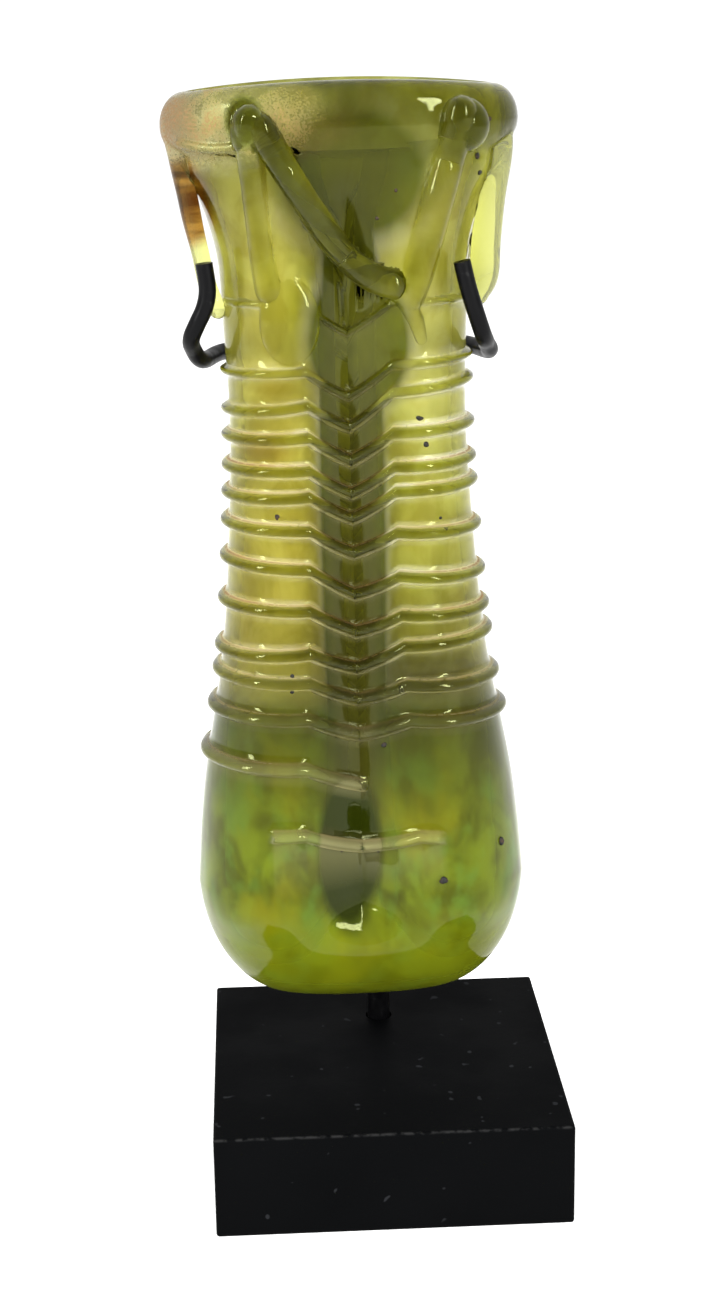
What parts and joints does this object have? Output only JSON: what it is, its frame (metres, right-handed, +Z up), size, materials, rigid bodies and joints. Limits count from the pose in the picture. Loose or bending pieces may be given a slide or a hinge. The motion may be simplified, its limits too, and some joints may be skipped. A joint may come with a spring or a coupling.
{
  "type": "roman glass bottle",
  "caption": "Tall two-tube glass bottle with wound thread and zigzag trail, standing in a wire cradle on a rod and a square block.",
  "frame": {"origin": "centre of the block's flat underside", "axes": "+Z up along the bottle, -Y towards the bottle's front, +X to its right"},
  "size_m": [0.0527, 0.05, 0.1548],
  "materials": {
    "green_glass": "clear yellow-green blown glass with bubbles, specks and tan dirt",
    "black_wire_paint": "satin black paint",
    "black_block_paint": "matte black paint on wood"
  },
  "bodies": {
    "root": {"glass_bottle": "green_glass", "cradle": "black_wire_paint", "base_block": "black_block_paint"}
  },
  "joints": []
}
